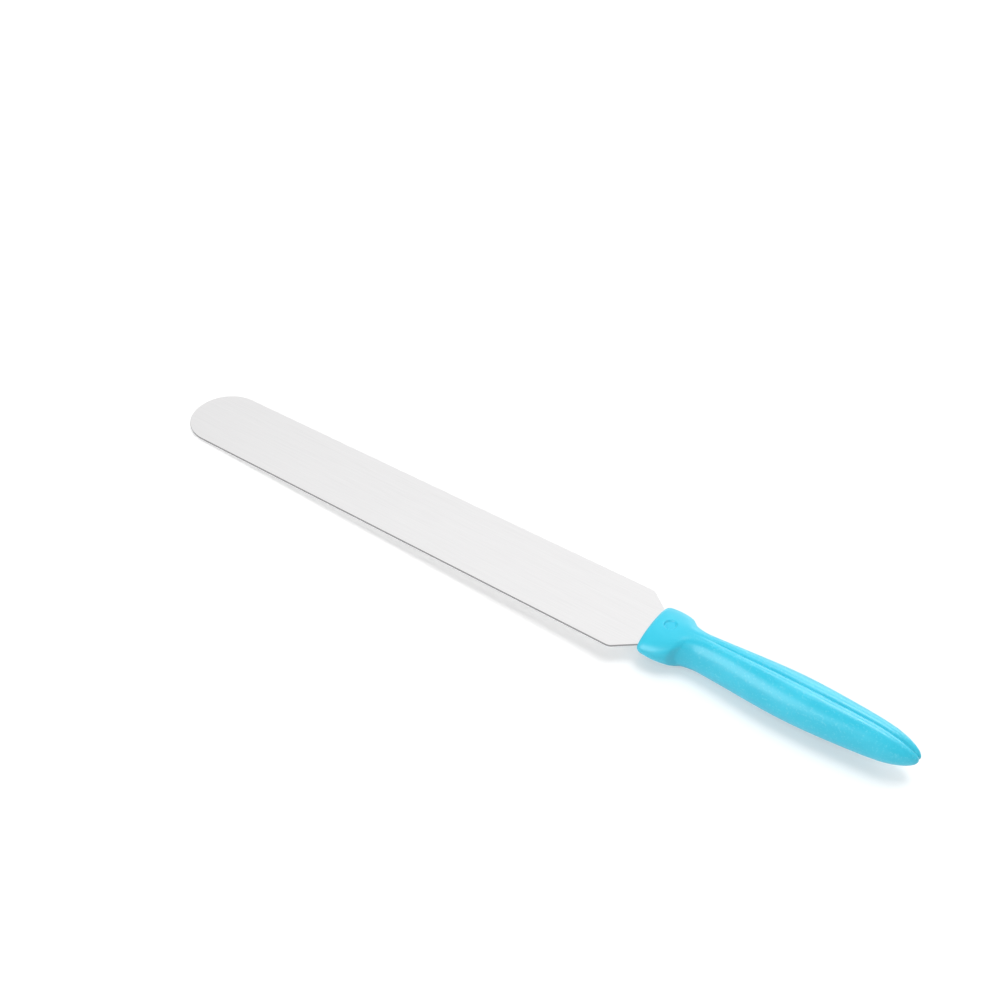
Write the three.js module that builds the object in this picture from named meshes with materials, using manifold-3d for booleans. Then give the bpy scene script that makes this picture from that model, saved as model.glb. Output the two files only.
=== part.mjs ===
// Cake spatula: a long flat stainless blade with a full round tip, held in a moulded plastic handle.
// Millimetres, +Z up. +X runs from the blade's tip to the handle's butt, and +Y runs across the blade.
// The origin is under the middle of the tool, on the surface that the handle's belly rests on.
import * as THREE from 'three';
import { mergeVertices } from 'three/addons/utils/BufferGeometryUtils.js';
import Module from 'manifold-3d';

const wasm = await Module();
wasm.setup();

// Blade: one flat strip of spring stainless, from the round tip to the collar's face
const bladeLength = 261;
const bladeTipWidth = 36;
const bladeRootWidth = 38.4;
const bladeThickness = 1.0;
const shoulderLength = 10;
const shoulderRadius = 2.5;

// Tang: the narrow end of the same strip, hidden in the handle and locked by plastic through its holes
const neckDepth = 4;
const tangTaper = 9;
const tangEndCover = 38;
const tangHoleCount = 2;
const tangHoleDiameter = 4;
const tangWall = 2;
const mouldGap = 0.3;

// Handle, along its length from the collar's face
const handleLength = 121;
const rimDepth = 2.4;
const collarCrestAt = 4.5;
const collarLength = 12.7;
const scoopWallRun = 4;
const scoopRun = 6.5;
const scoopSweep = 3.2;
const bellyWidthAt = 66.5;
const bellyHeightAt = 52.5;
const buttSideRound = 15;
const buttTopRound = 23;
const buttEndStep = 0.05;

// Handle, across
const collarWidth = 28.2;
const collarFaceWidth = 27.7;
const collarRearWidth = 25;
const collarFaceHeight = 12.4;
const rimSideInset = 1.4;
const rimTopInset = 2.4;
const neckWallAtFace = 0.9;
const scoopFootWidth = 17.6;
const gripNeckWidth = 14.2;
const gripWidth = 19.9;
const gripHeight = 21.6;
const buttWidth = 11.8;
const buttHeight = 15;

// How steeply the handle's outline runs at its stations, in millimetres across for each one along
const faceFlare = 0.1;
const collarRearFall = -0.42;
const scoopFootFall = -0.45;
const buttFall = -0.08;
const collarRise = 0.22;

// Crease between the grip's two lobes, along the top, round the butt and back underneath
const creaseDepth = 1.0;
const creaseHalfWidth = 3.5;
const creaseFadeLength = 28;

// How finely the curved faces are cut into facets
const sectionPoints = 60;
const rimRings = 4;
const collarRings = 8;
const scoopRings = 12;
const gripRings = 20;
const buttRings = 12;
const arcSegments = 24;
const postSegments = 24;

const steel = new THREE.MeshStandardMaterial({ color: 0xd2d2d4, roughness: 0.32, metalness: 1 });
const bluePlastic = new THREE.MeshStandardMaterial({ color: 0x4fcbe9, roughness: 0.5, metalness: 0 });

// A closed three.js geometry as a solid that can be joined and cut
function solid(geometry) {
  const bare = geometry.clone();
  bare.deleteAttribute('normal');
  bare.deleteAttribute('uv');
  const welded = mergeVertices(bare);
  return new wasm.Manifold(new wasm.Mesh({
    numProp: 3,
    vertProperties: new Float32Array(welded.attributes.position.array),
    triVerts: new Uint32Array(welded.index.array),
  }));
}

// A solid as a named mesh
function meshOf(name, body, material) {
  const { vertProperties, triVerts } = body.getMesh();
  const geometry = new THREE.BufferGeometry();
  geometry.setAttribute('position', new THREE.BufferAttribute(vertProperties, 3));
  geometry.setIndex(new THREE.BufferAttribute(triVerts, 1));
  geometry.computeVertexNormals();
  const mesh = new THREE.Mesh(geometry, material);
  mesh.name = name;
  return mesh;
}

// A flat outline in the blade's plane, given a thickness that is centred on that plane
function plate(outline, thickness) {
  const geometry = new THREE.ExtrudeGeometry(outline, {
    depth: thickness,
    bevelEnabled: false,
    curveSegments: arcSegments,
  });
  return solid(geometry.translate(0, 0, -thickness / 2));
}

// A guide curve for the loft: a smooth half size along the handle through a few stations with slopes
function guide(stations) {
  return (at) => {
    const last = stations.length - 2;
    const next = stations.findIndex((station) => station.at > at);
    const index = next < 0 ? last : Math.min(Math.max(next - 1, 0), last);
    const from = stations[index];
    const to = stations[index + 1];
    const span = to.at - from.at;
    const t = (at - from.at) / span;
    const blend = t * t * (3 - 2 * t);
    const leaving = t * (1 - t) * (1 - t) * span * from.slope;
    const arriving = t * t * (t - 1) * span * to.slope;
    return from.half + (to.half - from.half) * blend + leaving + arriving;
  };
}

// The collar's rounded front rim: how much of the rim's inset the section takes, from 1 at the face to 0
function rimShare(at) {
  const ahead = Math.max(rimDepth - at, 0) / rimDepth;
  return 1 - Math.sqrt(1 - ahead * ahead);
}

// The butt's round closing: 1 along the grip, down to 0 at the very end
function buttClosing(at, roundLength) {
  const past = Math.max(at - (handleLength - roundLength), 0) / roundLength;
  return Math.sqrt(Math.max(1 - past * past, 0));
}

const scoopFootAt = collarLength + scoopWallRun;
const scoopEnd = scoopFootAt + scoopRun;
const handleHalfWidth = guide([
  { at: 0, half: collarFaceWidth / 2, slope: faceFlare },
  { at: collarCrestAt, half: collarWidth / 2, slope: 0 },
  { at: collarLength, half: collarRearWidth / 2, slope: collarRearFall },
  { at: scoopFootAt, half: scoopFootWidth / 2, slope: scoopFootFall },
  { at: scoopEnd, half: gripNeckWidth / 2, slope: 0 },
  { at: bellyWidthAt, half: gripWidth / 2, slope: 0 },
  { at: handleLength, half: buttWidth / 2, slope: buttFall },
]);
const handleHalfHeight = guide([
  { at: 0, half: collarFaceHeight / 2, slope: collarRise },
  { at: bellyHeightAt, half: gripHeight / 2, slope: 0 },
  { at: handleLength, half: buttHeight / 2, slope: buttFall },
]);

// Half the handle's height at a place along it
function halfHeightAt(at) {
  return (handleHalfHeight(at) - rimShare(at) * rimTopInset) * buttClosing(at, buttTopRound);
}

// Half the handle's width. The scoops' front wall sweeps back from the sides towards the top and the underside.
function halfWidthAt(at, up) {
  const scooped = handleHalfWidth(Math.max(at - scoopSweep * up * up, 0));
  return (scooped - rimShare(at) * rimSideInset) * buttClosing(at, buttSideRound);
}

// One section of the handle: an oval, pinched along the middle by the crease
function handleSection(at) {
  const halfHeight = halfHeightAt(at);
  const step = handleLength / 1000;
  const rise = (halfHeight - halfHeightAt(Math.max(at - step, 0))) / step;
  const normal = new THREE.Vector2(-rise, 1).normalize();
  const depth = creaseDepth * THREE.MathUtils.smoothstep(at, collarLength, collarLength + creaseFadeLength);
  return Array.from({ length: sectionPoints }, (_, index) => {
    const angle = (index / sectionPoints) * 2 * Math.PI;
    const up = Math.sin(angle);
    const y = halfWidthAt(at, up) * Math.cos(angle);
    const nearMiddle = Math.max(1 - Math.abs(y) / creaseHalfWidth, 0);
    const sink = depth * nearMiddle * nearMiddle;
    const sinkUp = sink * normal.y * Math.min(2 * Math.abs(up), 1);
    return new THREE.Vector3(
      bladeLength + at - sink * normal.x,
      y,
      halfHeight * up - Math.sign(up) * sinkUp,
    );
  });
}

// Where the loft has its sections: close together at the rim, the scoops and the butt
function ringPlaces() {
  const quarter = (count) => Array.from({ length: count }, (_, k) => 1 - Math.cos((k / count) * Math.PI / 2));
  const even = (from, to, count) => Array.from({ length: count }, (_, k) => from + (to - from) * (k / count));
  const buttStart = handleLength - buttTopRound;
  return [
    ...quarter(rimRings).map((share) => share * rimDepth),
    ...even(rimDepth, collarLength, collarRings),
    ...even(collarLength, scoopEnd, scoopRings),
    ...even(scoopEnd, buttStart, gripRings),
    ...quarter(buttRings).reverse().map((share) => handleLength - share * buttTopRound - buttEndStep),
  ];
}

// A skin over closed sections of equally many points, with a fan over each end
function loft(sections) {
  const middle = (points) => points.reduce((sum, p) => sum.add(p), new THREE.Vector3()).divideScalar(points.length);
  const count = sections[0].length;
  const rings = sections.flat();
  const firstPole = rings.length;
  const lastPole = firstPole + 1;
  const lastRing = (sections.length - 1) * count;
  const index = [];
  for (let k = 0; k < count; k += 1) {
    const next = (k + 1) % count;
    index.push(firstPole, next, k);
    index.push(lastPole, lastRing + k, lastRing + next);
    for (let ring = 0; ring < lastRing; ring += count) {
      index.push(ring + k, ring + next, ring + count + next);
      index.push(ring + k, ring + count + next, ring + count + k);
    }
  }
  const points = [...rings, middle(sections[0]), middle(sections[sections.length - 1])];
  const geometry = new THREE.BufferGeometry().setFromPoints(points);
  geometry.setIndex(index);
  return solid(geometry);
}

// The strip's width where it enters the collar leaves a thin wall of plastic beside it
const neckHalfWidth = collarFaceWidth / 2 - rimSideInset - neckWallAtFace - mouldGap;
const tangHalfWidth = gripNeckWidth / 2 - tangWall - mouldGap;
const tangLength = handleLength - tangEndCover;

// The exposed blade: round tip, flanks that open slightly towards the shoulders, and the neck
function bladeOutline() {
  const tip = bladeTipWidth / 2;
  const root = bladeRootWidth / 2;
  const shoulderAt = bladeLength - shoulderLength;
  const shoulder = new THREE.Vector2(shoulderLength, neckHalfWidth - root).normalize();
  const roundStart = new THREE.Vector2(shoulderAt - shoulderRadius, root);
  const roundEnd = new THREE.Vector2(shoulderAt, root).addScaledVector(shoulder, shoulderRadius);
  const outline = new THREE.Shape();
  outline.moveTo(bladeLength, -neckHalfWidth);
  outline.lineTo(bladeLength, neckHalfWidth);
  outline.lineTo(roundEnd.x, roundEnd.y);
  outline.quadraticCurveTo(shoulderAt, root, roundStart.x, roundStart.y);
  outline.lineTo(tip, tip);
  outline.absarc(tip, 0, tip, Math.PI / 2, Math.PI * 1.5, false);
  outline.lineTo(roundStart.x, -roundStart.y);
  outline.quadraticCurveTo(shoulderAt, -root, roundEnd.x, -roundEnd.y);
  outline.closePath();
  return outline;
}

// The tang: the neck, a taper, and a strip with a round end. The margin makes the handle's slot from it.
function tangOutline(start, margin) {
  const neck = neckHalfWidth + margin;
  const strip = tangHalfWidth + margin;
  const neckEnd = bladeLength + neckDepth + margin;
  const taperEnd = neckEnd + tangTaper;
  const endCentre = bladeLength + tangLength - tangHalfWidth;
  const outline = new THREE.Shape();
  outline.moveTo(start, -neck);
  outline.lineTo(neckEnd, -neck);
  outline.lineTo(taperEnd, -strip);
  outline.lineTo(endCentre, -strip);
  outline.absarc(endCentre, 0, strip, -Math.PI / 2, Math.PI / 2, false);
  outline.lineTo(taperEnd, strip);
  outline.lineTo(neckEnd, neck);
  outline.lineTo(start, neck);
  outline.closePath();
  return outline;
}

// Upright round posts at the tang's holes, evenly spaced along the straight part of the tang
function posts(diameter, height) {
  const first = bladeLength + neckDepth + tangTaper;
  const last = bladeLength + tangLength - tangHalfWidth;
  const pitch = (last - first) / (tangHoleCount + 1);
  return Array.from({ length: tangHoleCount }, (_, k) => {
    const post = new THREE.CylinderGeometry(diameter / 2, diameter / 2, height, postSegments);
    return solid(post.rotateX(Math.PI / 2).translate(first + pitch * (k + 1), 0, 0));
  });
}

function makeBlade() {
  const joined = plate(bladeOutline(), bladeThickness)
    .add(plate(tangOutline(bladeLength - neckDepth / 2, 0), bladeThickness));
  return posts(tangHoleDiameter, bladeThickness * 3).reduce((body, hole) => body.subtract(hole), joined);
}

function makeHandle() {
  const slotHeight = bladeThickness + 2 * mouldGap;
  const slot = plate(tangOutline(bladeLength - neckDepth, mouldGap), slotHeight);
  const locks = posts(tangHoleDiameter - 2 * mouldGap, slotHeight * 2);
  const cut = locks.reduce((body, lock) => body.subtract(lock), slot);
  return loft(ringPlaces().map(handleSection)).subtract(cut);
}

const spatula = new THREE.Group();
spatula.add(meshOf('blade', makeBlade(), steel));
spatula.add(meshOf('handle', makeHandle(), bluePlastic));

// Stand the tool on the handle's belly, with the origin under the middle of its length
const extent = new THREE.Box3().setFromObject(spatula);
spatula.position.set(-(extent.min.x + extent.max.x) / 2, 0, -extent.min.z);

export default spatula;
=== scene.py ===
# %% [markdown]
# # A cake spatula, dressed for the camera
# The tool is two things: a long flat strip of satin stainless steel with a round tip, and a light blue
# plastic handle that was moulded over the strip's narrow end. The measured model is loaded first and never
# moves. Everything below is built around it, in metres, in the same frame: X runs from tip to butt,
# Y across the blade, and Z up.

# %% Load the measured model
import math

import bmesh
import bpy
from mathutils import Matrix, Vector


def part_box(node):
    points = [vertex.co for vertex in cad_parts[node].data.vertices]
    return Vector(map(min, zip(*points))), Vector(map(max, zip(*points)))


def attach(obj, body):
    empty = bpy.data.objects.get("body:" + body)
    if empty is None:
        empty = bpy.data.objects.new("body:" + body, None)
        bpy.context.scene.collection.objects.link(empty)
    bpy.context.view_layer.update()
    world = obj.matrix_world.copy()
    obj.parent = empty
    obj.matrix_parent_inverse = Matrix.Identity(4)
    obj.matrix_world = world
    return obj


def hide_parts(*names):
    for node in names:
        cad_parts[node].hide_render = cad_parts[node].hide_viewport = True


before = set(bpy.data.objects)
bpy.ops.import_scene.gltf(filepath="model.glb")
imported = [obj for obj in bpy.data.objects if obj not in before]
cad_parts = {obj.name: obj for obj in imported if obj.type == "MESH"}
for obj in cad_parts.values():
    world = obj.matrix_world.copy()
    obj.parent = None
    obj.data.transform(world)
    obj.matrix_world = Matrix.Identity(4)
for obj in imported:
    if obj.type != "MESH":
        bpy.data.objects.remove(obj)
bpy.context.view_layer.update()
blade_low, blade_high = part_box("blade")
handle_low, handle_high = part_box("handle")
MM = 0.001

# %% [markdown]
# ## The camera
# The photo looks down on the tool from the butt's side. Its place was worked out from the way that the
# blade's edges run together in the picture, so the camera is given as an angle, a place and a lens.

# %% Camera
CAMERA_PLACE = Vector((254.7, -377.0, 465.8)) * MM
CAMERA_AZIMUTH = math.radians(34.9)
CAMERA_ELEVATION = math.radians(42.62)
CAMERA_LENS = 52.13
CAMERA_NEAR = 0.01

camera = bpy.data.objects.new("camera", bpy.data.cameras.new("camera"))
bpy.context.scene.collection.objects.link(camera)
bpy.context.scene.camera = camera
looking = Vector((
    -math.cos(CAMERA_ELEVATION) * math.sin(CAMERA_AZIMUTH),
    math.cos(CAMERA_ELEVATION) * math.cos(CAMERA_AZIMUTH),
    -math.sin(CAMERA_ELEVATION),
))
camera.location = CAMERA_PLACE
camera.rotation_euler = looking.to_track_quat("-Z", "Y").to_euler()
camera.data.lens = CAMERA_LENS
camera.data.clip_start = CAMERA_NEAR
bpy.context.scene.view_settings.view_transform = "Standard"

# %% [markdown]
# ## The floor
# A spatula on a table rests on two places: the tip of the blade and the belly of the handle. The blade
# stays level here, so the floor leans by the small angle that makes it touch both. It is pale, and part of
# its white is its own light, which only the camera and shiny surfaces see, so the background stays clean
# while the tool still throws its shadow.

# %% Floor
FLOOR_SIZE = 8.0
FLOOR_ALBEDO = 0.72
FLOOR_OWN_LIGHT = 0.34


def combined(tree, operation, first, second):
    """Joins two values by a Math node, such as a sum, a product or the larger of the two."""
    node = tree.nodes.new("ShaderNodeMath")
    node.operation = operation
    tree.links.new(first, node.inputs[0])
    tree.links.new(second, node.inputs[1])
    return node.outputs[0]


def seen_directly(tree):
    """1 on rays from the camera and on reflected or refracted rays, and 0 on diffuse light."""
    path = tree.nodes.new("ShaderNodeLightPath")
    shown = combined(tree, "MAXIMUM", path.outputs["Is Camera Ray"], path.outputs["Is Glossy Ray"])
    return combined(tree, "MAXIMUM", shown, path.outputs["Is Transmission Ray"])


def floor_paint():
    """A dull pale paint with a share of light of its own."""
    paint = bpy.data.materials.new("pale_floor")
    paint.use_nodes = True
    tree = paint.node_tree
    shader = tree.nodes["Principled BSDF"]
    shader.inputs["Base Color"].default_value = (FLOOR_ALBEDO, FLOOR_ALBEDO, FLOOR_ALBEDO, 1)
    shader.inputs["Roughness"].default_value = 1.0
    shader.inputs["Specular IOR Level"].default_value = 0.0
    shader.inputs["Emission Color"].default_value = (1, 1, 1, 1)
    share = tree.nodes.new("ShaderNodeMath")
    share.operation = "MULTIPLY"
    share.inputs[1].default_value = FLOOR_OWN_LIGHT
    tree.links.new(seen_directly(tree), share.inputs[0])
    tree.links.new(share.outputs[0], shader.inputs["Emission Strength"])
    return paint


def belly_place():
    """The lowest point of the handle, where the tool rests."""
    return min((v.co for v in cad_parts["handle"].data.vertices), key=lambda co: co.z).copy()


belly = belly_place()
tip_rest = Vector((blade_low.x, 0, blade_low.z))
lean = math.atan2(tip_rest.z - belly.z, belly.x - tip_rest.x)
floor_mesh = bmesh.new()
bmesh.ops.create_grid(floor_mesh, x_segments=1, y_segments=1, size=FLOOR_SIZE / 2)
bmesh.ops.rotate(floor_mesh, verts=floor_mesh.verts, matrix=Matrix.Rotation(lean, 3, "Y"))
bmesh.ops.translate(floor_mesh, verts=floor_mesh.verts, vec=Vector((belly.x, 0, belly.z)))
floor_data = bpy.data.meshes.new("floor")
floor_mesh.to_mesh(floor_data)
floor_mesh.free()
floor = bpy.data.objects.new("floor", floor_data)
bpy.context.scene.collection.objects.link(floor)
floor_data.materials.append(floor_paint())
print("floor leans", round(math.degrees(lean), 2), "degrees")

# %% [markdown]
# ## The light
# The photo was taken in even, bright studio light. Three broad panels give it here: one overhead, one low
# on the far side, which lays a faint shadow towards us, and one low at the front. Distant lamps with a
# wide angle light the whole floor alike, so no edge of a light pool shows. The sky is plain white where
# the camera sees it. Gloss sees a studio instead: bright walls high on the far side, and a dimmer room
# all round.

# %% Lamps and sky
SKY_ON_THE_TOOL = 0.37
WALLS_TOWARDS = Vector((-0.10, 0.565, 0.82)).normalized()
WALLS_SPREAD = (0.5, 1.0)
ROOM_TO_WALLS = (0.6, 1.0)


def soft_sun(name, azimuth, elevation, strength, spread):
    """A distant lamp that shines from a compass direction and height, as wide as a studio panel."""
    lamp = bpy.data.lights.new(name, "SUN")
    lamp.energy = strength
    lamp.angle = math.radians(spread)
    made = bpy.data.objects.new(name, lamp)
    bpy.context.scene.collection.objects.link(made)
    a, e = math.radians(azimuth), math.radians(elevation)
    towards = Vector((math.cos(e) * math.cos(a), math.cos(e) * math.sin(a), math.sin(e)))
    made.rotation_euler = towards.to_track_quat("Z", "Y").to_euler()
    return made


def ranged(tree, value, source=(0.0, 1.0), target=(0.0, 1.0), soft=False):
    """Maps a value from one range onto another, straight or with soft ends."""
    node = tree.nodes.new("ShaderNodeMapRange")
    node.interpolation_type = "SMOOTHSTEP" if soft else "LINEAR"
    node.inputs["From Min"].default_value = source[0]
    node.inputs["From Max"].default_value = source[1]
    node.inputs["To Min"].default_value = target[0]
    node.inputs["To Max"].default_value = target[1]
    tree.links.new(value, node.inputs["Value"])
    return node.outputs["Result"]


def studio_in_gloss(tree):
    """How bright the studio is in each direction, for rays that a shiny surface sends out."""
    direction = tree.nodes.new("ShaderNodeTexCoord")
    facing = tree.nodes.new("ShaderNodeVectorMath")
    facing.operation = "DOT_PRODUCT"
    facing.inputs[1].default_value = WALLS_TOWARDS
    tree.links.new(direction.outputs["Generated"], facing.inputs[0])
    return ranged(tree, facing.outputs["Value"], WALLS_SPREAD, ROOM_TO_WALLS, soft=True)


def picked(tree, ray, when_true, otherwise):
    """One value on one kind of ray and another on the rest."""
    mix = tree.nodes.new("ShaderNodeMix")
    tree.links.new(ray, mix.inputs["Factor"])
    for value, socket in ((otherwise, mix.inputs["A"]), (when_true, mix.inputs["B"])):
        if isinstance(value, float):
            socket.default_value = value
        else:
            tree.links.new(value, socket)
    return mix.outputs["Result"]


panels = [
    soft_sun("overhead_panel", azimuth=80, elevation=76, strength=1.55, spread=32),
    soft_sun("far_panel", azimuth=91, elevation=25, strength=1.1, spread=41),
    soft_sun("front_panel", azimuth=-116, elevation=20, strength=1.4, spread=42),
]

world = bpy.data.worlds.new("studio")
bpy.context.scene.world = world
world.use_nodes = True
sky_tree = world.node_tree
sky = sky_tree.nodes["Background"]
sky.inputs["Color"].default_value = (1, 1, 1, 1)
rays = sky_tree.nodes.new("ShaderNodeLightPath")
level = picked(sky_tree, rays.outputs["Is Glossy Ray"], studio_in_gloss(sky_tree), SKY_ON_THE_TOOL)
level = picked(sky_tree, rays.outputs["Is Camera Ray"], 1.0, level)
level = picked(sky_tree, rays.outputs["Is Transmission Ray"], 1.0, level)
sky_tree.links.new(level, sky.inputs["Strength"])

# %% [markdown]
# ## The blade
# A press stamps the blade from a strip of sheet about a millimetre thick. Its outline starts as one point
# that is spun half a turn into the round tip. The two ends of that arc are then drawn back along the
# flanks, the slanted shoulders, the neck and the narrow tang inside the handle. The outline is filled,
# given its thickness, and its sharp corners are broken by a fine bevel, as tumbling leaves them.

# %% Blade sizes and outline
TIP_HALF = 18.0 * MM
ROOT_HALF = blade_high.y
SHOULDER_RUN = 10.0 * MM
SHOULDER_ROUND = 1.2 * MM
NECK_HALF = 11.25 * MM
NECK_INSIDE = 4.0 * MM
TANG_TAPER = 9.0 * MM
TANG_HALF = 4.8 * MM
TIP_STEPS = 72
TANG_STEPS = 16
SHOULDER_STEPS = 8
EDGE_BREAK = 0.16 * MM
EDGE_STEPS = 3
FLAT_FACE = 0.999
CLOSE = 0.01 * MM

collar_face = handle_low.x
blade_thickness = blade_high.z - blade_low.z
shoulder_at = collar_face - SHOULDER_RUN


def draw_on(bm, vert, places):
    """Extrudes a loose vertex through the given places and returns the last vertex."""
    for place in places:
        vert = bmesh.ops.extrude_vert_indiv(bm, verts=[vert])["verts"][0]
        vert.co = place
    return vert


def half_turn(bm, vert, centre, turn, steps):
    """Spins a vertex half a turn about a point and returns the vertex at the end of the arc."""
    arc = bmesh.ops.spin(bm, geom=[vert], cent=centre, axis=(0, 0, 1), angle=turn, steps=steps)
    return next(item for item in arc["geom_last"] if isinstance(item, bmesh.types.BMVert))


def blade_outline(bm):
    """The closed outline of the blade and its tang, as loose edges at the underside's level."""
    tip_centre = Vector((blade_low.x + TIP_HALF, 0, blade_low.z))
    end_centre = Vector((blade_high.x - TANG_HALF, 0, blade_low.z))
    flank = [
        (shoulder_at, ROOT_HALF),
        (collar_face, NECK_HALF),
        (collar_face + NECK_INSIDE, NECK_HALF),
        (collar_face + NECK_INSIDE + TANG_TAPER, TANG_HALF),
        (end_centre.x, TANG_HALF),
    ]
    start = bm.verts.new(tip_centre + Vector((0, TIP_HALF, 0)))
    near_start = half_turn(bm, start, tip_centre, math.pi, TIP_STEPS)
    far_end = draw_on(bm, start, [Vector((x, y, blade_low.z)) for x, y in flank])
    draw_on(bm, near_start, [Vector((x, -y, blade_low.z)) for x, y in flank])
    half_turn(bm, far_end, end_centre, -math.pi, TANG_STEPS)
    bmesh.ops.remove_doubles(bm, verts=bm.verts, dist=CLOSE)


blade_mesh = bmesh.new()
blade_outline(blade_mesh)
bmesh.ops.contextual_create(blade_mesh, geom=blade_mesh.edges[:])
corners = [v for v in blade_mesh.verts if abs(v.co.x - shoulder_at) < CLOSE]
bmesh.ops.bevel(
    blade_mesh, geom=corners, affect="VERTICES", offset=SHOULDER_ROUND,
    segments=SHOULDER_STEPS, profile=0.5, material=-1)
print("blade outline", len(blade_mesh.verts), "points,", len(corners), "shoulders rounded")

# %% Blade thickness and broken edges
raised = bmesh.ops.extrude_face_region(blade_mesh, geom=blade_mesh.faces[:])
top_points = [item for item in raised["geom"] if isinstance(item, bmesh.types.BMVert)]
bmesh.ops.translate(blade_mesh, verts=top_points, vec=(0, 0, blade_thickness))
bmesh.ops.recalc_face_normals(blade_mesh, faces=blade_mesh.faces[:])
rims = [e for e in blade_mesh.edges if abs(e.verts[0].co.z - e.verts[1].co.z) < CLOSE]
bmesh.ops.bevel(
    blade_mesh, geom=rims, affect="EDGES", offset=EDGE_BREAK,
    segments=EDGE_STEPS, profile=0.5, material=-1)
for face in blade_mesh.faces:
    face.smooth = abs(face.normal.z) < FLAT_FACE


def finished(bm, name, node):
    """Turns a bmesh into a named piece that stands for a measured node: it hangs on the root and the node
    is hidden.
    """
    data = bpy.data.meshes.new(name)
    bm.to_mesh(data)
    bm.free()
    piece = bpy.data.objects.new(name, data)
    bpy.context.scene.collection.objects.link(piece)
    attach(piece, "root")
    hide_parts(node)
    return piece


blade = finished(blade_mesh, "steel_blade", "blade")
print("blade", len(blade.data.polygons), "faces")

# %% [markdown]
# ## The handle's guide curves
# The handle is one moulding. Seen from above it starts as a broad oval collar, drops into a finger scoop
# on each side, swells into the grip and closes in a round butt. Seen from the side it only swells and
# tapers, so the scoops cut the sides and leave the back whole. Two guide curves hold that: half the width
# and half the height along the handle, each a smooth curve through a few stations with a slope.

# %% Guide curves
WIDTH_STATIONS = [
    (0.0, 13.85, 0.1),
    (4.5, 14.1, 0.0),
    (12.7, 12.5, -0.42),
    (16.7, 8.8, -0.45),
    (23.2, 7.1, 0.0),
    (66.5, 9.95, 0.0),
    (121.0, 5.9, -0.08),
]
HEIGHT_STATIONS = [
    (0.0, 6.2, 0.22),
    (52.5, 10.8, 0.0),
    (121.0, 7.5, -0.08),
]
HANDLE_END = WIDTH_STATIONS[-1][0]
RIM_DEPTH = 2.4
RIM_SIDE_INSET = 1.4
RIM_TOP_INSET = 2.4
SCOOP_SWEEP = 3.2
BUTT_SIDE_ROUND = 15.0
BUTT_TOP_ROUND = 23.0


def guide(stations, at):
    """The half size at a place along the handle, all in millimetres."""
    pairs = zip(stations, stations[1:])
    (a, size_a, slope_a), (b, size_b, slope_b) = next(
        (pair for pair in pairs if at <= pair[1][0]), stations[-2:])
    t = (at - a) / (b - a)
    blend = t * t * (3 - 2 * t)
    bend = t * (1 - t) * ((1 - t) * slope_a - t * slope_b) * (b - a)
    return size_a + (size_b - size_a) * blend + bend


def rim_share(at):
    """How much of the rim's inset a section takes: all of it at the collar's face, none behind the rim."""
    ahead = max(RIM_DEPTH - at, 0.0) / RIM_DEPTH
    return 1 - math.sqrt(1 - ahead * ahead)


def butt_closing(at, round_length):
    """1 along the grip, falling as a quarter round to 0 at the very end."""
    past = max(at - (HANDLE_END - round_length), 0.0) / round_length
    return math.sqrt(max(1 - past * past, 0.0))


def half_width(at, up=0.0):
    """Half the width. The scoops' front wall sweeps back from the sides to the top and underside."""
    scooped = guide(WIDTH_STATIONS, max(at - SCOOP_SWEEP * up * up, 0.0))
    return (scooped - rim_share(at) * RIM_SIDE_INSET) * butt_closing(at, BUTT_SIDE_ROUND)


def half_height(at):
    """Half the height, which the scoops leave whole."""
    swell = guide(HEIGHT_STATIONS, at)
    return (swell - rim_share(at) * RIM_TOP_INSET) * butt_closing(at, BUTT_TOP_ROUND)


for place in (station[0] for station in WIDTH_STATIONS):
    size = [round(2 * half, 1) for half in (half_width(place), half_height(place))]
    print("at", place, "mm: wide and high", size)

# %% [markdown]
# ## The handle's skin
# Each section is a circle that is pulled to the guides' size. Along the middle of the grip, above and
# below, two rounded lobes meet in a shallow crease, so the section is pressed in there, square to the
# surface, which carries the crease round the butt as well. The collar's top has one plain round recess.
# Neighbouring sections are bridged.

# %% Sections
CREASE_DEPTH = 1.1
CREASE_HALF = 3.1
CREASE_STARTS = 12.7
CREASE_FADE = 28.0
CREASE_SIDE = 0.5
RECESS_AT = 8.2
RECESS_RADIUS = 2.9
RECESS_EDGE = 0.6
RECESS_DEPTH = 0.9
RING_POINTS = 300
RIM_SECTIONS = 12
FRONT_END = 26.0
FRONT_STEP = 0.35
GRIP_SECTIONS = 60
BUTT_SECTIONS = 40
END_GAP = 0.03
SLOPE_STEP = 0.1
mid_height = (blade_low.z + blade_high.z) / 2


def eased(value):
    """0 below 0, 1 above 1, and a soft step between."""
    value = min(max(value, 0.0), 1.0)
    return value * value * (3 - 2 * value)


def crease(at, y):
    """How deep the surface is pressed in beside the middle line."""
    near_middle = max(1 - abs(y) / CREASE_HALF, 0.0)
    return CREASE_DEPTH * eased((at - CREASE_STARTS) / CREASE_FADE) * near_middle ** 2


def recess(at, y):
    """The plain round recess on top of the collar."""
    from_middle = math.hypot(at - RECESS_AT, y)
    return RECESS_DEPTH * eased((RECESS_RADIUS - from_middle) / RECESS_EDGE)


def section_point(at, side, up):
    """A point of the section at a place along the handle, from its place on a unit circle."""
    rise = (half_height(at) - half_height(max(at - SLOPE_STEP, 0))) / SLOPE_STEP
    outward = Vector((-rise, 1)).normalized()
    y = half_width(at, up) * side
    sink = crease(at, y)
    sink_up = sink * outward.y * min(abs(up) / CREASE_SIDE, 1.0)
    z = half_height(at) * up - math.copysign(sink_up, up)
    if up > 0:
        z -= recess(at, y)
    return Vector((collar_face + (at - sink * outward.x) * MM, y * MM, mid_height + z * MM))


def edges_of(points):
    """The edges that meet at the points, each once and in the same order on every run."""
    return list(dict.fromkeys(edge for point in points for edge in point.link_edges))


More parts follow.
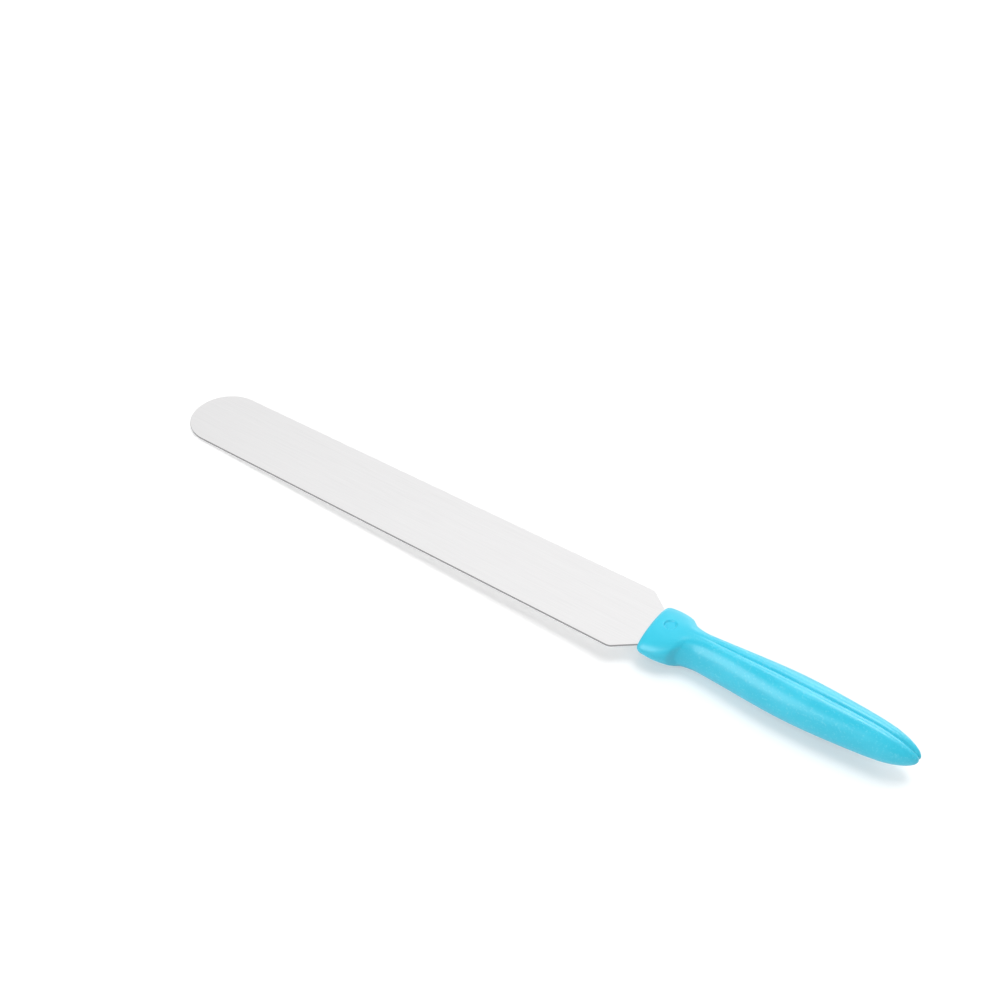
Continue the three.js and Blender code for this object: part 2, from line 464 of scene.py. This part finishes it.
def ring(bm, at):
    """One closed section of the handle, and the edges that make it."""
    points = bmesh.ops.create_circle(bm, segments=RING_POINTS, radius=1.0)["verts"]
    for point in points:
        point.co = section_point(at, point.co.x, point.co.y)
    return edges_of(points)


def quarter_step(part):
    """How far a quarter round has come at a part of its turn, in shares of its length."""
    return 1 - math.cos(part * math.pi / 2)


def ring_places():
    """Where the sections lie: close together at the rim, the scoops and the butt."""
    rim = [RIM_DEPTH * quarter_step(k / RIM_SECTIONS) for k in range(RIM_SECTIONS)]
    front = [RIM_DEPTH + k * FRONT_STEP for k in range(int((FRONT_END - RIM_DEPTH) / FRONT_STEP))]
    grip_length = HANDLE_END - BUTT_TOP_ROUND - FRONT_END
    grip = [FRONT_END + k * grip_length / GRIP_SECTIONS for k in range(GRIP_SECTIONS)]
    butt = [
        HANDLE_END - END_GAP - BUTT_TOP_ROUND * quarter_step(k / BUTT_SECTIONS)
        for k in range(BUTT_SECTIONS, -1, -1)
    ]
    return rim + front + grip + butt


handle_mesh = bmesh.new()
rings = [ring(handle_mesh, at) for at in ring_places()]
for one, other in zip(rings, rings[1:]):
    bmesh.ops.bridge_loops(handle_mesh, edges=one + other)
bmesh.ops.edgeloop_fill(handle_mesh, edges=rings[-1])
print("handle skin", len(rings), "sections,", len(handle_mesh.faces), "faces")

# %% [markdown]
# ## The collar's mouth
# The blade comes out of a slot in the collar's flat face, with a hair of shadow all round. The slot starts
# as one flat quad that is bridged to the rim. Its edges are pushed into the handle in the steps of the
# tang, and the end is closed.

# %% Slot for the tang
MOULD_GAP = 0.3 * MM
SLOT_CUTS = 15
slot_half_height = blade_thickness / 2 + MOULD_GAP


def slot_mouth(bm):
    """The edges of a rectangle in the collar's face, a little larger than the blade's neck."""
    points = bmesh.ops.create_grid(bm, x_segments=1, y_segments=1, size=1.0)["verts"]
    edges = edges_of(points)
    for point in points:
        across, upward = point.co.x, point.co.y
        point.co = Vector((
            collar_face, across * (NECK_HALF + MOULD_GAP), mid_height + upward * slot_half_height))
    bmesh.ops.delete(bm, geom=[edges[0].link_faces[0]], context="FACES_ONLY")
    long_edges = [e for e in edges if e.calc_length() > NECK_HALF]
    cut = bmesh.ops.subdivide_edges(bm, edges=long_edges, cuts=SLOT_CUTS)
    inner = [item for item in cut["geom"] if isinstance(item, bmesh.types.BMEdge)]
    return list(dict.fromkeys(inner + [e for e in edges if e.is_valid]))


def push_in(bm, edges, to_x, half):
    """Extrudes the slot's edges to a place further in, and narrows or widens them to a half width."""
    made = bmesh.ops.extrude_edge_only(bm, edges=edges)["geom"]
    points = [item for item in made if isinstance(item, bmesh.types.BMVert)]
    widest = max(abs(point.co.y) for point in points)
    for point in points:
        point.co.x = to_x
        point.co.y *= half / widest
    return [item for item in made if isinstance(item, bmesh.types.BMEdge)
            and all(abs(v.co.x - to_x) < CLOSE for v in item.verts)]


mouth = slot_mouth(handle_mesh)
bmesh.ops.bridge_loops(handle_mesh, edges=rings[0] + mouth)
neck_end = collar_face + NECK_INSIDE + MOULD_GAP
inside = push_in(handle_mesh, mouth, neck_end, NECK_HALF + MOULD_GAP)
inside = push_in(handle_mesh, inside, neck_end + TANG_TAPER, TANG_HALF + MOULD_GAP)
inside = push_in(handle_mesh, inside, blade_high.x + MOULD_GAP, TANG_HALF + MOULD_GAP)
bmesh.ops.edgeloop_fill(handle_mesh, edges=inside)
bmesh.ops.recalc_face_normals(handle_mesh, faces=handle_mesh.faces[:])
print("open edges left:", sum(1 for e in handle_mesh.edges if len(e.link_faces) != 2))

# %% Handle finished
SHARP_ABOVE = math.radians(40)


def fitted(bm, low, high):
    """Stretches a mesh by a hair so that it fills a measured box."""
    own_low = Vector(min(v.co[k] for v in bm.verts) for k in range(3))
    own_high = Vector(max(v.co[k] for v in bm.verts) for k in range(3))
    factor = [(high[k] - low[k]) / (own_high[k] - own_low[k]) for k in range(3)]
    bmesh.ops.translate(bm, verts=bm.verts, vec=low - own_low)
    bmesh.ops.scale(bm, verts=bm.verts, vec=factor, space=Matrix.Translation(-low))
    return factor


print("stretched by", [round(f, 5) for f in fitted(handle_mesh, handle_low, handle_high)])
for face in handle_mesh.faces:
    face.smooth = True
handle = finished(handle_mesh, "blue_handle", "handle")
handle.data.set_sharp_from_angle(angle=SHARP_ABOVE)
print("handle", len(handle.data.polygons), "faces")

# %% [markdown]
# ## Shared surface effects
# Steel and plastic both carry a fine directional or even grain, and both pick up faint handling marks.
# Each effect is a node group with its own inputs, so that the two materials use it at their own scale.

# %% Node groups
GRAIN_OCTAVES = 2.0
GRAIN_HARSHNESS = 0.6
SPECKLE_SPREAD = (0.52, 0.72)
MARKS_OCTAVES = 4.0
MARKS_SWIRL = 0.4
MARKS_SPREAD = (0.35, 0.68)
EFFECT_INPUTS = {"Vector": "NodeSocketVector", "Scale": "NodeSocketFloat"}


def effect_group(name, outputs):
    """A shader node group with one noise in it, placed and scaled by its inputs, and named outputs."""
    group = bpy.data.node_groups.new(name, "ShaderNodeTree")
    for label, kind in EFFECT_INPUTS.items():
        group.interface.new_socket(name=label, in_out="INPUT", socket_type=kind)
    for label in outputs:
        group.interface.new_socket(name=label, in_out="OUTPUT", socket_type="NodeSocketFloat")
    given = group.nodes.new("NodeGroupInput")
    noise = group.nodes.new("ShaderNodeTexNoise")
    for label in EFFECT_INPUTS:
        group.links.new(given.outputs[label], noise.inputs[label])
    return group, noise, group.nodes.new("NodeGroupOutput")


def surface_grain():
    """Fine relief: two octaves of noise, and a soft-edged speckle from the same place."""
    group, noise, result = effect_group("surface_grain", ("Height", "Speckle"))
    noise.inputs["Detail"].default_value = GRAIN_OCTAVES
    noise.inputs["Roughness"].default_value = GRAIN_HARSHNESS
    speckle = ranged(group, noise.outputs["Fac"], SPECKLE_SPREAD, soft=True)
    group.links.new(noise.outputs["Fac"], result.inputs["Height"])
    group.links.new(speckle, result.inputs["Speckle"])
    return group


def handling_marks():
    """Broad cloudy patches where hands and cloths have been."""
    group, noise, result = effect_group("handling_marks", ("Marks",))
    noise.inputs["Detail"].default_value = MARKS_OCTAVES
    noise.inputs["Distortion"].default_value = MARKS_SWIRL
    patches = ranged(group, noise.outputs["Fac"], MARKS_SPREAD, soft=True)
    group.links.new(patches, result.inputs["Marks"])
    return group


grain_group = surface_grain()
marks_group = handling_marks()
print("effects", grain_group.name, marks_group.name)

# %% Small helpers for materials
def new_material(name):
    """A material, its nodes and its shader."""
    material = bpy.data.materials.new(name)
    material.use_nodes = True
    return material, material.node_tree, material.node_tree.nodes["Principled BSDF"]


def placed_group(tree, group, vector, scale):
    """Puts an effect into a material, reading the given coordinates at the given scale."""
    node = tree.nodes.new("ShaderNodeGroup")
    node.node_tree = group
    node.inputs["Scale"].default_value = scale
    tree.links.new(vector, node.inputs["Vector"])
    return node


def own_coordinates(tree, stretch=(1, 1, 1)):
    """The piece's own coordinates in metres, with a pattern stretched or squeezed along each axis."""
    coordinates = tree.nodes.new("ShaderNodeTexCoord")
    mapping = tree.nodes.new("ShaderNodeMapping")
    mapping.inputs["Scale"].default_value = stretch
    tree.links.new(coordinates.outputs["Object"], mapping.inputs["Vector"])
    return mapping.outputs["Vector"]


def colour_between(tree, value, first, second):
    """Mixes two colours, each written down or from a node, by a 0 to 1 value."""
    node = tree.nodes.new("ShaderNodeMix")
    node.data_type = "RGBA"
    tree.links.new(value, node.inputs["Factor"])
    for colour, socket in ((first, node.inputs["A"]), (second, node.inputs["B"])):
        if isinstance(colour, tuple):
            socket.default_value = (*colour, 1)
        else:
            tree.links.new(colour, socket)
    return node.outputs["Result"]


def bumped(tree, height, strength, distance):
    """A surface direction that is tilted by a height."""
    node = tree.nodes.new("ShaderNodeBump")
    node.inputs["Strength"].default_value = strength
    node.inputs["Distance"].default_value = distance
    tree.links.new(height, node.inputs["Height"])
    return node.outputs["Normal"]


# %% [markdown]
# ## Satin steel
# The blade is rolled sheet, finished by brushing along its length. The grain group is stretched along X so
# that its specks become long fine lines. They change the colour and the roughness a little and tilt the
# surface even less. Broad faint marks keep the long face from being one even tone. The narrow sides were
# cut by the press and not brushed, so they are duller. Their dark grey is mostly painted shade: it stands
# in for the dark line of shade along the blade's edge. They are picked out by the way that they face.

# %% Steel
STEEL_LIGHT = (0.99, 0.985, 0.985)
STEEL_DARK = (0.84, 0.835, 0.84)
# painted shade: the cut sides' dark grey stands in for the shade along the blade's edge
STEEL_CUT_SHADE = (0.30, 0.295, 0.30)
BRUSH_STRETCH = (4.0, 420.0, 420.0)
BRUSH_SCALE = 12.0
STEEL_MARKS_SCALE = 26.0
STEEL_MARKS_STRETCH = (0.5, 1, 1)
STEEL_ROUGHNESS = (0.28, 0.33)
STEEL_MARKS_ROUGHNESS = (0.0, 0.02)
BRUSH_RELIEF = 0.05
BRUSH_DEPTH = 0.02 * MM
CUT_FACING = (0.6, 0.97)


def cut_edge_shade(tree):
    """1 on the sheet's narrow sides, where the press cut it and where the painted shade goes, and 0 on its
    brushed faces.
    """
    coordinates = tree.nodes.new("ShaderNodeTexCoord")
    facing = tree.nodes.new("ShaderNodeSeparateXYZ")
    tree.links.new(coordinates.outputs["Normal"], facing.inputs[0])
    upward = tree.nodes.new("ShaderNodeMath")
    upward.operation = "ABSOLUTE"
    tree.links.new(facing.outputs["Z"], upward.inputs[0])
    return ranged(tree, upward.outputs[0], CUT_FACING, (1.0, 0.0))


steel, tree, shader = new_material("satin_steel")
brush = placed_group(tree, grain_group, own_coordinates(tree, BRUSH_STRETCH), BRUSH_SCALE)
marks = placed_group(tree, marks_group, own_coordinates(tree, STEEL_MARKS_STRETCH), STEEL_MARKS_SCALE)
shader.inputs["Metallic"].default_value = 1.0
brushed = colour_between(tree, brush.outputs["Height"], STEEL_DARK, STEEL_LIGHT)
# the narrow sides take the dark cut grey, which is painted shade along the edge
tree.links.new(
    colour_between(tree, cut_edge_shade(tree), brushed, STEEL_CUT_SHADE), shader.inputs["Base Color"])
roughness = combined(
    tree, "ADD",
    ranged(tree, brush.outputs["Speckle"], target=STEEL_ROUGHNESS),
    ranged(tree, marks.outputs["Marks"], target=STEEL_MARKS_ROUGHNESS))
tree.links.new(roughness, shader.inputs["Roughness"])
tree.links.new(bumped(tree, brush.outputs["Height"], BRUSH_RELIEF, BRUSH_DEPTH), shader.inputs["Normal"])
blade.data.materials.append(steel)
print("blade wears", steel.name)

# %% [markdown]
# ## Glare
# A photographer turns a bare panel away from polished steel, because its mirror image burns out to white.
# Blender does it by light linking: the panels light everything but the blade, which mirrors the sky's soft
# studio alone and so keeps its grey from every side.

# %% Panels turned away from the blade
without_glare = bpy.data.collections.new("without_glare")
without_glare.objects.link(blade)
without_glare.collection_objects[0].light_linking.link_state = "EXCLUDE"
for panel in panels:
    panel.light_linking.receiver_collection = without_glare

# %% [markdown]
# ## Moulded plastic
# The handle is a light sky blue, semi-matt polypropylene. The mould was spark eroded, which leaves a fine
# even grain of tiny dimples on the grip's sides. The dimples are painted a paler blue, a painted highlight
# that stands in for the glints the grain catches. The collar came out smoother, so the grain's share
# grows along the handle. Handling leaves the surface slightly uneven in gloss.

# %% Blue plastic
BLUE = (0.026, 0.565, 0.76)
BLUE_PALE = (0.038, 0.595, 0.79)
# painted highlight: the paler blue of the grain's dimples stands in for their glints
BLUE_DIMPLE_GLINT = (0.085, 0.635, 0.815)
PLASTIC_GRAIN_SCALE = 1000.0
PLASTIC_MARKS_SCALE = 60.0
GRAIN_GROWS = (collar_face + 11 * MM, collar_face + 32 * MM)
GRAIN_SHARE = (0.05, 1.0)
GRAIN_RELIEF = 0.35
GRAIN_DEPTH = 0.12 * MM
PLASTIC_GLOSS = 0.6
PLASTIC_ROUGHNESS = (0.29, 0.33)
PLASTIC_MARKS_ROUGHNESS = (0.0, 0.04)

plastic, tree, shader = new_material("blue_moulding")
shader.inputs["Specular IOR Level"].default_value = PLASTIC_GLOSS
grain = placed_group(tree, grain_group, own_coordinates(tree), PLASTIC_GRAIN_SCALE)
marks = placed_group(tree, marks_group, own_coordinates(tree), PLASTIC_MARKS_SCALE)
along = tree.nodes.new("ShaderNodeSeparateXYZ")
tree.links.new(own_coordinates(tree), along.inputs[0])
grain_share = ranged(tree, along.outputs["X"], GRAIN_GROWS, GRAIN_SHARE)
# the dimples' paler colour is a painted highlight for the grain's glints
dimple_glints = combined(tree, "MULTIPLY", grain.outputs["Speckle"], grain_share)
relief = combined(tree, "MULTIPLY", grain.outputs["Height"], grain_share)
handled = colour_between(tree, marks.outputs["Marks"], BLUE, BLUE_PALE)
tree.links.new(colour_between(tree, dimple_glints, handled, BLUE_DIMPLE_GLINT), shader.inputs["Base Color"])
roughness = combined(
    tree, "ADD",
    ranged(tree, grain.outputs["Speckle"], target=PLASTIC_ROUGHNESS),
    ranged(tree, marks.outputs["Marks"], target=PLASTIC_MARKS_ROUGHNESS))
tree.links.new(roughness, shader.inputs["Roughness"])
tree.links.new(bumped(tree, relief, GRAIN_RELIEF, GRAIN_DEPTH), shader.inputs["Normal"])
handle.data.materials.append(plastic)
print("handle wears", plastic.name)
